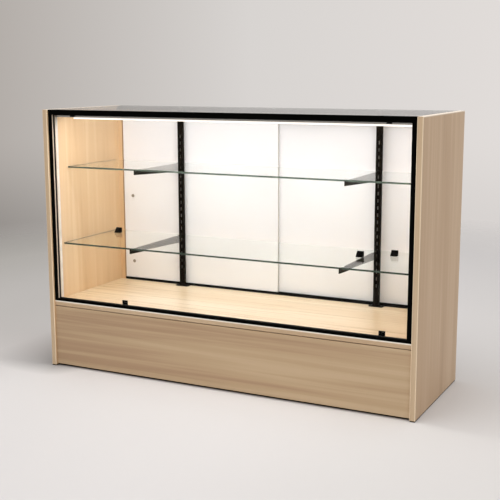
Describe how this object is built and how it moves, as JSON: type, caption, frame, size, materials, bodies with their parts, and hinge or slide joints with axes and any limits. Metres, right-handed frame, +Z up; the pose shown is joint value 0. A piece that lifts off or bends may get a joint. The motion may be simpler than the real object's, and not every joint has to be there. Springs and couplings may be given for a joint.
{
  "type": "glass display counter",
  "caption": "Half-height retail display counter: wood-grain end panels and kick base, black-framed glass front and top, glass shelves on slotted standards, LED bar and rear sliding doors.",
  "frame": {"origin": "on the floor under the middle of the counter's box", "axes": "+X to the right seen from the customer's side, +Y from the glass front to the rear doors, +Z up"},
  "size_m": [1.4, 0.475, 0.945],
  "materials": {
    "panel_wood": "wood-grain laminate, satin",
    "edge_wood": "edge band, satin",
    "deck_wood": "pale wood-grain laminate, satin",
    "kick_wood": "wood-grain laminate, satin",
    "dowel_wood": "bare beech",
    "black_metal": "black, satin",
    "clear_glass": "clear, polished",
    "shelf_glass": "clear with green edge, polished",
    "gasket_rubber": "black, matt",
    "clear_rubber": "clear, soft",
    "black_plastic": "black, matt",
    "aluminium": "anodised, satin",
    "led_board": "white board",
    "diffuser": "milky, lit",
    "steel": "zinc plated",
    "door_white": "white laminate, satin",
    "pull_grey": "grey anodised",
    "bead_white": "white extruded bead, satin",
    "nylon": "natural nylon"
  },
  "bodies": {
    "counter": {"base_back_panel": "kick_wood", "base_brace_left": "kick_wood", "base_brace_right": "kick_wood", "bracket_pads": "clear_rubber", "carcass_dowels": "dowel_wood", "cord_gland": "black_plastic", "deck_edge_band": "edge_wood", "deck_panel": "deck_wood", "floor_glides": "black_plastic", "frame_bottom_rail": "black_metal", "frame_left_stile": "black_metal", "frame_right_stile": "black_metal", "frame_top_rail": "black_metal", "front_clip_left": "black_plastic", "front_clip_right": "black_plastic", "front_gasket": "gasket_rubber", "front_glass": "clear_glass", "kick_panel": "kick_wood", "led_channel": "aluminium", "led_clips": "black_plastic", "led_diffuser": "diffuser", "led_driver": "black_plastic", "led_end_caps": "black_plastic", "led_strip": "led_board", "left_edge_band": "edge_wood", "left_end_panel": "panel_wood", "left_foot_plate": "black_metal", "left_glass_ledge": "panel_wood", "left_glazing_bead": "bead_white", "left_jamb": "kick_wood", "left_standard": "black_metal", "lower_left_bracket": "black_metal", "lower_right_bracket": "black_metal", "lower_shelf": "shelf_glass", "lower_track": "black_plastic", "price_blocks": "black_plastic", "rear_top_rail": "black_metal", "right_edge_band": "edge_wood", "right_end_panel": "panel_wood", "right_foot_plate": "black_metal", "right_glass_ledge": "panel_wood", "right_glazing_bead": "bead_white", "right_jamb": "kick_wood", "right_standard": "black_metal", "top_glass": "clear_glass", "top_glass_pads": "clear_rubber", "upper_left_bracket": "black_metal", "upper_right_bracket": "black_metal", "upper_shelf": "shelf_glass", "upper_track": "aluminium", "wood_screws": "steel"},
    "left_sliding_door": {"left_door": "door_white", "left_pull": "pull_grey", "left_pull_screws": "pull_grey", "left_door_glides": "nylon"},
    "right_sliding_door": {"right_door": "door_white", "right_pull": "pull_grey", "right_pull_screws": "pull_grey", "right_door_glides": "nylon"}
  },
  "joints": [
    {"name": "left_door_slide", "type": "slide", "parent": "counter", "child": "left_sliding_door", "axis": [1, 0, 0], "range_m": [0, 0.638]},
    {"name": "right_door_slide", "type": "slide", "parent": "counter", "child": "right_sliding_door", "axis": [1, 0, 0], "range_m": [-0.638, 0]}
  ]
}
